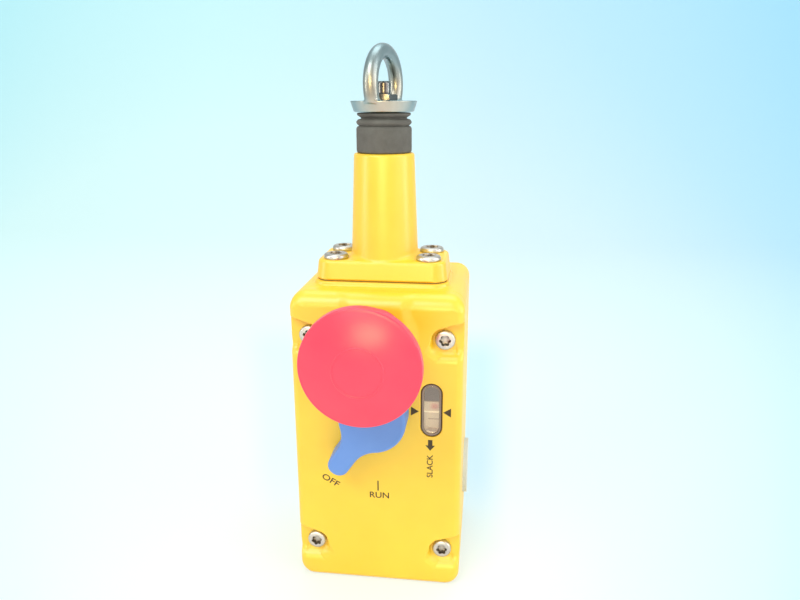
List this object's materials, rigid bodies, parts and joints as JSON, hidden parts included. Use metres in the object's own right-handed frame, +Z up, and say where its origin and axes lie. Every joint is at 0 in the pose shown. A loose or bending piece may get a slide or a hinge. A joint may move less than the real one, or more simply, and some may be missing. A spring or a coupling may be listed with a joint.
{
  "type": "rope pull switch",
  "caption": "Rope pull safety switch: cast housing and tower, sprung draw rod with rope eye, mushroom stop button, lever reset knob and slack indicator window.",
  "frame": {"origin": "on the rope axis at the underside, at the mouth of the bottom cable entry", "axes": "+Z up along the rope and the draw rod, -Y towards the operator (cover side), +X to the operator's right"},
  "size_m": [0.077, 0.108, 0.2345],
  "materials": {
    "yellow_paint": "semi-gloss powder coat on die-cast alloy",
    "black_rubber": "moulded rubber, dull",
    "zinc_plate": "bright zinc plate with a blue cast",
    "bright_steel": "ground steel",
    "spring_clip_steel": "phosphated spring steel",
    "bronze": "sintered bronze",
    "white_plastic": "natural acetal",
    "indicator_print": "pale printed bar",
    "clear_lens": "clear moulded lens",
    "red_plastic": "semi-gloss moulding",
    "blue_plastic": "semi-gloss moulding",
    "black_plastic": "glass-filled moulding",
    "grey_plastic": "matt moulding",
    "plunger_plastic": "matt moulding",
    "brass": "plain brass"
  },
  "bodies": {
    "housing": {"base_housing": "yellow_paint", "cover": "yellow_paint", "cover_gasket": "black_rubber", "cover_screws": "zinc_plate", "tower": "yellow_paint", "tower_gasket": "black_rubber", "tower_screws": "zinc_plate", "boot": "black_rubber", "rod_bush": "bronze", "tension_spring": "bright_steel", "window_lens": "clear_lens", "window_seal": "black_rubber", "estop_bezel": "black_plastic", "estop_nut": "black_plastic", "estop_spring": "bright_steel", "knob_seal": "black_rubber", "slide_pins": "bright_steel", "chassis": "zinc_plate", "chassis_screws": "zinc_plate", "trip_pin": "bright_steel", "stop_contact_block": "black_plastic", "rope_contact_block": "black_plastic", "terminal_screws": "brass", "earth_screw": "brass", "side_plugs": "grey_plastic"},
    "pull_rod": {"eye_nut": "zinc_plate", "rod_lock_nut": "zinc_plate", "draw_rod": "bright_steel", "spring_seat": "bright_steel", "seat_clip": "spring_clip_steel", "carriage": "white_plastic", "carriage_nut": "bright_steel", "indicator_bar": "indicator_print"},
    "stop_button": {"estop_cap": "red_plastic", "estop_stem": "bright_steel", "estop_clip": "spring_clip_steel"},
    "reset": {"reset_knob": "blue_plastic", "knob_shaft": "bright_steel", "knob_clip": "spring_clip_steel", "crank_disc": "bright_steel"},
    "latch": {"latch_slide": "zinc_plate"},
    "trip": {"trip_lever": "zinc_plate"},
    "stop_contact": {"stop_plunger": "plunger_plastic"},
    "rope_contact": {"rope_plunger": "plunger_plastic"}
  },
  "joints": [
    {"name": "rope_pull", "type": "slide", "parent": "housing", "child": "pull_rod", "axis": [0, 0, 1], "range_m": [0, 0.012], "stiffness_N_per_m": 8000, "springref_m": -0.004, "deforming": ["boot", "tension_spring"]},
    {"name": "stop_press", "type": "slide", "parent": "housing", "child": "stop_button", "axis": [0, 1, 0], "range_m": [0, 0.004], "stiffness_N_per_m": 2500, "springref_m": -0.003, "deforming": ["estop_spring"]},
    {"name": "reset_turn", "type": "hinge", "parent": "housing", "child": "reset", "pos_m": [0, -0.04, 0.0854], "axis": [0, -1, 0], "range_deg": [0, 34.5]},
    {"name": "latch_move", "type": "slide", "parent": "housing", "child": "latch", "axis": [-1, 0, 0], "range_m": [0, 0.004]},
    {"name": "trip_turn", "type": "hinge", "parent": "housing", "child": "trip", "pos_m": [0, -0.0105, 0.103], "axis": [-1, 0, 0], "range_deg": [0, 14.5]},
    {"name": "stop_contact_move", "type": "slide", "parent": "housing", "child": "stop_contact", "axis": [0, 1, 0], "range_m": [0, 0.0016]},
    {"name": "rope_contact_move", "type": "slide", "parent": "housing", "child": "rope_contact", "axis": [-1, 0, 0], "range_m": [0, 0.003]}
  ],
  "couplings": [
    {"joint": "latch_move", "follows": "reset_turn", "m_per_rad": 0.006585},
    {"joint": "trip_turn", "follows": "stop_press", "rad_per_m": 63.2},
    {"joint": "stop_contact_move", "follows": "stop_press", "ratio": 0.4},
    {"joint": "rope_contact_move", "follows": "rope_pull", "ratio": 0.25}
  ]
}
